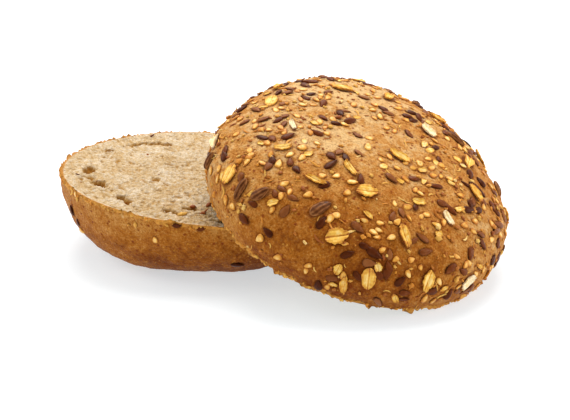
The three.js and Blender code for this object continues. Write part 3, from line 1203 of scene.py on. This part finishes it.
class Graph:
    """A material's nodes, with short ways to add them."""

    def __init__(self, name):
        self.material = bpy.data.materials.new(name)
        self.material.use_nodes = True
        self.tree = self.material.node_tree
        self.surface = self.tree.nodes["Principled BSDF"]
        self.place = self.add("ShaderNodeTexCoord").outputs["Object"]

    def add(self, kind, settings=None, **inputs):
        node = self.tree.nodes.new(kind)
        for name, value in (settings or {}).items():
            setattr(node, name, value)
        for name, value in inputs.items():
            self.feed(node.inputs[name.replace("_", " ")], value)
        return node

    def feed(self, socket, value):
        if isinstance(value, bpy.types.NodeSocket):
            self.tree.links.new(value, socket)
        else:
            socket.default_value = value

    def fact(self, name):
        """A number that the mesh keeps at its points."""
        return self.add("ShaderNodeAttribute", {"attribute_name": name}).outputs["Fac"]

    def noise(self, size, detail=3.0, roughness=0.6):
        """Cloudy noise, 0 to 1, with patches of the given size in metres."""
        settings = {"Scale": 1 / size, "Detail": detail, "Roughness": roughness}
        return self.add("ShaderNodeTexNoise", Vector=self.place, **settings).outputs["Fac"]

    def cells(self, size):
        """Cells of the given size in metres: how far each place is from its cell's middle, and a colour."""
        node = self.add("ShaderNodeTexVoronoi", Vector=self.place, Scale=1 / size, Randomness=1.0)
        return node.outputs["Distance"], node.outputs["Color"]

    def math(self, operation, a, b=0.0):
        node = self.add("ShaderNodeMath", {"operation": operation, "use_clamp": operation != "MULTIPLY"})
        self.feed(node.inputs[0], a)
        self.feed(node.inputs[1], b)
        return node.outputs[0]

    def sum(self, *parts):
        """Values times their weights, added up."""
        total = 0.0
        for value, weight in parts:
            node = self.add("ShaderNodeMath", {"operation": "MULTIPLY_ADD"})
            for socket, item in zip(node.inputs, (value, weight, total)):
                self.feed(socket, item)
            total = node.outputs[0]
        return total

    def between(self, value, low, high):
        """0 at low, 1 at high, an even slope between them, and level outside. low may be the larger."""
        node = self.add("ShaderNodeMapRange", Value=value, From_Min=low, From_Max=high)
        return node.outputs["Result"]

    def ramp(self, value, *stops):
        node = self.add("ShaderNodeValToRGB", Fac=value)
        elements = node.color_ramp.elements
        while len(elements) < len(stops):
            elements.new(0.5)
        for element, (position, colour) in zip(elements, stops):
            element.position = position
            element.color = (*colour, 1.0)
        return node.outputs["Color"]

    def blend(self, share, a, b, mode="MIX"):
        node = self.add("ShaderNodeMix", {"data_type": "RGBA", "blend_type": mode})
        self.feed(node.inputs["Factor"], share)
        for socket, value in ((node.inputs[6], a), (node.inputs[7], b)):
            self.feed(socket, (*value, 1.0) if isinstance(value, tuple) else value)
        return node.outputs[2]

    def specks(self, size, share, reach):
        """1 in scattered round specks: a share of the cells of a grid, each with a speck of some reach."""
        away, colour = self.cells(size)
        chosen = self.add("ShaderNodeSeparateColor", Color=colour).outputs["Red"]
        near = self.between(away, reach, reach * 0.6)
        return self.math("MULTIPLY", near, self.math("LESS_THAN", chosen, share))

    def bump(self, height, distance, strength=1.0, under=None):
        node = self.add("ShaderNodeBump", Height=height, Distance=distance, Strength=strength)
        if under:
            self.feed(node.inputs["Normal"], under)
        return node.outputs["Normal"]

    def finish(self, colour, roughness, normal, **plain):
        self.feed(self.surface.inputs["Base Color"], colour)
        self.feed(self.surface.inputs["Roughness"], roughness)
        self.feed(self.surface.inputs["Normal"], normal)
        for name, value in plain.items():
            self.surface.inputs[name.replace("_", " ")].default_value = value
        return self.material


print("node helpers ready")

# %% [markdown]
# Crust is browned starch and sugar. Its colour comes from how hot each place got: pale gold where the skin
# swelled late, red-brown where it caught the heat, and darkest in specks of bran. It also holds painted
# light: the crown is paler at its top, partly a painted highlight, and darker towards the cut and on one
# side, partly a painted shade; the heel is painted darker where the crown shades it, and so is the crust
# right round each topping. Three noises of different size mix those shades, and the bump adds the pimples
# that are too small for the mesh.

# %% The crust
PALE_GOLD = (0.69, 0.44, 0.19)
GOLD = (0.52, 0.225, 0.045)
BROWN = (0.39, 0.122, 0.009)
DEEP_BROWN = (0.17, 0.036, 0.002)
BRAN_RED = (0.20, 0.035, 0.003)
YELLOW = (0.68, 0.34, 0.05)
FLOUR = (0.66, 0.39, 0.13)
LIP_GOLD = (0.72, 0.325, 0.055)


def crust_material(name, deeper):
    """deeper darkens the whole crust, 0 to 1."""
    g = Graph(name)
    clouds = ((g.noise(20 * MM, 2.0), 0.35), (g.noise(5 * MM, 3.0), 0.3), (g.noise(1.5 * MM, 3.0), 0.35))
    # The toast fact is browning with painted shade in it, so this heat is partly painted shade.
    heat_and_shade = g.sum(*clouds, (g.fact("toast"), 0.31), (1.0, deeper))
    colour = g.ramp(heat_and_shade, (0.36, PALE_GOLD), (0.49, GOLD), (0.64, BROWN), (0.82, DEEP_BROWN))
    grain = g.noise(0.65 * MM, 3.0, 0.75)
    floury = g.math("MULTIPLY", g.between(grain, 0.52, 0.68), g.between(heat_and_shade, 0.85, 0.45))
    colour = g.blend(g.sum((floury, 0.6)), colour, FLOUR)
    colour = g.blend(g.sum((g.between(grain, 0.48, 0.32), 0.75)), colour, DEEP_BROWN)
    colour = g.blend(g.sum((g.specks(2.3 * MM, 0.5, 0.28), 0.85)), colour, BRAN_RED)
    colour = g.blend(g.sum((g.specks(1.7 * MM, 0.35, 0.24), 0.35)), colour, YELLOW)
    # A painted shade darkens the crust right round each topping.
    colour = g.blend(g.sum((g.fact("near"), 0.75)), colour, DEEP_BROWN)
    lip = g.sum((g.fact("lip"), 1.0), (g.noise(1.6 * MM, 2.0), 1.8), (1.0, -1.05))
    colour = g.blend(g.between(lip, 0.3, 1.0), colour, LIP_GOLD)
    pimples = g.bump(g.noise(0.8 * MM, 4.0, 0.6), 0.7 * MM, 1.0)
    wrinkles = g.bump(g.noise(2.6 * MM, 3.0, 0.5), 0.9 * MM, 0.6, pimples)
    rough = g.sum((g.between(g.noise(5 * MM, 3.0), 0.3, 0.7), 0.2), (1.0, 0.45))
    sheen = {"Sheen_Weight": 0.05, "Sheen_Roughness": 0.5, "Sheen_Tint": (1.0, 0.93, 0.84, 1.0)}
    return g.finish(colour, rough, wrinkles, Specular_IOR_Level=0.03, **sheen)


print("crust shades go from", PALE_GOLD, "to", DEEP_BROWN)


# %% [markdown]
# Crumb is pale and matt. Light goes from wall to wall inside its bubbles and turns warmer each time, so the
# pores and the small pits of the grain are painted darker and browner inside, a painted shade. Specks of
# bran from the wholegrain flour are scattered in it.

# %% The crumb
CRUMB_PALE = (0.73, 0.615, 0.46)
CRUMB = (0.605, 0.44, 0.25)
CRUMB_SHADE = (0.46, 0.255, 0.075)
CRUMB_DEEP_SHADE = (0.36, 0.14, 0.013)


def crumb_material(name):
    g = Graph(name)
    cloud = g.sum((g.noise(9 * MM, 3.0), 0.3), (g.noise(1.8 * MM, 3.0), 0.4), (g.noise(0.7 * MM, 2.0), 0.3))
    colour = g.ramp(cloud, (0.36, CRUMB_SHADE), (0.48, CRUMB), (0.6, CRUMB_PALE))
    bubbles, _ = g.cells(1.1 * MM)
    # The small pits of the grain are painted darker, a painted shade.
    colour = g.blend(g.sum((g.between(bubbles, 0.35, 0.1), 0.5)), colour, CRUMB_SHADE)
    # Pores are painted darker and browner with depth, a painted shade.
    colour = g.blend(g.between(g.fact("pore"), 0.0, 0.5), colour, CRUMB_SHADE)
    colour = g.blend(g.between(g.fact("pore"), 0.45, 1.1), colour, CRUMB_DEEP_SHADE)
    colour = g.blend(g.sum((g.specks(3.4 * MM, 0.22, 0.15), 0.6)), colour, BRAN_RED)
    skin = g.sum((g.fact("skin"), 1.0), (g.noise(1.2 * MM, 3.0), 0.8), (1.0, -0.4))
    colour = g.blend(g.between(skin, 0.45, 0.9), colour, GOLD)
    pits = g.bump(bubbles, 0.5 * MM, 0.8)
    threads = g.bump(g.noise(0.55 * MM, 3.0, 0.7), 0.5 * MM, 1.0, pits)
    return g.finish(colour, 0.9, threads, Specular_IOR_Level=0.1)


crown_bread.data.materials.append(crust_material("crown_crust", -0.015))
crown_bread.data.materials.append(crumb_material("crown_crumb"))
heel_bread.data.materials.append(crust_material("heel_crust", 0.04))
heel_bread.data.materials.append(crumb_material("heel_crumb"))
print("bread materials made")

# %% [markdown]
# Pale toppings toast first at their edges, in uneven patches, and kernels and grains have fine lines along
# their length. Painting that on each one isn't possible, so two helpers make it out of the numbers edge and
# across that every copy kept.

# %% Helpers for the toppings
TOASTED = (0.48, 0.19, 0.02)  # what pale toppings turn to on the crown's darkest side, partly browned and partly painted shade
OILY = {"Specular_IOR_Level": 0.12, "Specular_Tint": (1.0, 0.72, 0.5, 1.0)}  # a low, warm shine
DRY = {"Specular_IOR_Level": 0.25}


def toasted_edge(g, start):
    """How toasted a topping is at each point: its rim most, in uneven patches."""
    edge = g.between(g.fact("edge"), start, 1.0)
    patches = g.between(g.noise(1.6 * MM, 2.0), 0.35, 0.65)
    return g.sum((edge, 0.45), (patches, 0.4))


def lines(g, count):
    """Fine lines along the length, 0 to 1, a little crooked."""
    place = g.sum((g.fact("across"), count), (g.noise(1.2 * MM, 2.0), 2.5))
    wave = g.add("ShaderNodeMath", {"operation": "SINE"})
    g.feed(wave.inputs[0], place)
    return g.between(wave.outputs[0], -1.0, 1.0)


print("toppings toast towards", TOASTED)

# %% [markdown]
# Seeds keep a skin with a sheen of oil. Linseeds are dark red-brown and a little glossy. Sesame seeds are
# cream in the middle and toasted at the rim. Sunflower kernels have a dark brown skin that wears to the
# paler kernel at the edges. Each has a ramp, which says where each colour stands, from 0 to 1.

# %% The seeds
LINSEED_SHADES = ((0.2, (0.043, 0.006, 0.0006)), (0.6, (0.132, 0.027, 0.0038)), (1.0, (0.26, 0.088, 0.024)))
LINSEED_RIM_SHADE = (0.045, 0.008, 0.002)
SESAME_SHADES = ((0.05, (0.86, 0.585, 0.21)), (0.38, (0.75, 0.38, 0.055)), (0.8, (0.50, 0.16, 0.01)))
KERNEL_SHADES = ((0.3, (0.05, 0.012, 0.003)), (0.55, (0.125, 0.037, 0.009)), (0.8, (0.27, 0.105, 0.034)))
KERNEL_BARE = (0.38, 0.16, 0.05)


def linseed_material():
    g = Graph("linseed_skin")
    shade = g.sum((g.fact("tint"), 0.75), (g.noise(1.2 * MM, 3.0), 0.5))
    colour = g.ramp(shade, *LINSEED_SHADES)
    # The rim of each linseed is painted darker, a painted shade where it meets the crust.
    colour = g.blend(g.sum((g.between(g.fact("edge"), 0.85, 1.0), 0.6)), colour, LINSEED_RIM_SHADE)
    grain = g.bump(g.noise(0.5 * MM, 3.0), 0.15 * MM, 0.6)
    return g.finish(colour, 0.34, grain, **OILY)


def sesame_material():
    g = Graph("sesame_skin")
    toast = g.sum((toasted_edge(g, 0.5), 1.2), (g.fact("tint"), 0.45), (1.0, -0.15))
    colour = g.ramp(toast, *SESAME_SHADES)
    # Darker where the crown is darkest: partly browning, partly painted shade.
    colour = g.blend(g.sum((g.fact("brown_and_shade"), 0.3)), colour, TOASTED)
    return g.finish(colour, 0.42, g.bump(g.noise(0.5 * MM, 2.0), 0.12 * MM, 0.6), **DRY)


def kernel_material():
    g = Graph("sunflower_skin")
    bare = g.sum((g.between(g.fact("edge"), 0.8, 0.97), 0.9), (g.noise(1.5 * MM, 3.0), 0.5), (1.0, -0.3))
    shade = g.sum((lines(g, 9.0), 0.3), (g.noise(1.5 * MM, 3.0), 0.8))
    colour = g.ramp(shade, *KERNEL_SHADES)
    colour = g.blend(g.between(bare, 0.6, 1.1), colour, KERNEL_BARE)
    ridges = g.bump(shade, 0.25 * MM, 0.6)
    return g.finish(colour, 0.4, ridges, **OILY)


print("linseeds go from", LINSEED_SHADES[0][1], "to", LINSEED_SHADES[-1][1])

# %% [markdown]
# Oats are golden with toasted edges, some under a floury bloom, and the crumbs run from pale oat to dark
# bran. A random tint for each copy moves it along its ramp.

# %% The oats and crumbs
FLOURY = (0.90, 0.80, 0.56)
OAT_SHADES = (
    (0.05, (0.91, 0.645, 0.22)),
    (0.35, (0.83, 0.475, 0.065)),
    (0.65, (0.66, 0.29, 0.03)),
    (0.95, (0.36, 0.10, 0.01)),
)
BRAN_SHADES = (
    (0.0, (0.82, 0.62, 0.30)),
    (0.2, (0.73, 0.42, 0.08)),
    (0.6, (0.62, 0.23, 0.018)),
    (1.0, (0.28, 0.065, 0.005)),
)


def oat_material():
    g = Graph("oat_flake")
    crooked = g.sum((g.fact("across"), 1.0), (g.noise(1.5 * MM, 2.0), 0.3), (1.0, -0.15))
    # The crease is painted darker, a painted shade in its groove.
    crease = g.between(g.math("ABSOLUTE", crooked), 0.15, 0.03)
    parts = ((toasted_edge(g, 0.45), 1.15), (g.fact("tint"), -0.35), (lines(g, 16.0), 0.12), (crease, 0.4))
    colour = g.ramp(g.sum(*parts), *OAT_SHADES)
    floury = g.sum((g.fact("tint"), 1.6), (g.noise(1.5 * MM, 3.0), 1.2), (1.0, -1.5))
    colour = g.blend(g.between(floury, 0.3, 0.8), colour, FLOURY)
    # Darker where the crown is darkest: partly browning, partly painted shade.
    colour = g.blend(g.sum((g.fact("brown_and_shade"), 0.15)), colour, TOASTED)
    grain = g.bump(g.sum((lines(g, 16.0), 0.5), (g.noise(0.6 * MM, 3.0), 0.7)), 0.25 * MM, 0.7)
    return g.finish(colour, 0.55, grain, **DRY)


def bran_material():
    g = Graph("oat_and_bran_crumb")
    shade = g.sum((g.fact("tint"), 0.9), (g.noise(0.9 * MM, 2.0), 0.35), (1.0, -0.05))
    colour = g.ramp(shade, *BRAN_SHADES)
    return g.finish(colour, 0.5, g.bump(g.noise(0.4 * MM, 2.0), 0.15 * MM, 0.7), **DRY)


FINISHES = {
    "oat_flake": (oat_material, "oat_flake"),
    "sunflower_kernel": (kernel_material, "sunflower_kernel"),
    "linseed": (linseed_material, "linseed"),
    "sesame_seed": (sesame_material, "sesame_seed"),
    "crumb": (bran_material, "oat_flake"),
}
for kind, (make, _) in FINISHES.items():
    pieces[kind].data.materials.append(make())
print(len(FINISHES), "topping materials made")

# %% [markdown]
# ## Hand over
#
# Every new piece rides on the one body of the plain model and stands for the plain solids that it covers,
# which are hidden.

# %% Tie the pieces to the plain model
for bread_piece, node in ((crown_bread, "crown"), (heel_bread, "heel")):
    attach(bread_piece, "root")
    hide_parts(node)
for kind, piece in pieces.items():
    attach(piece, "root")
    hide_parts(*[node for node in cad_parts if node.rstrip("0123456789_") == kind])
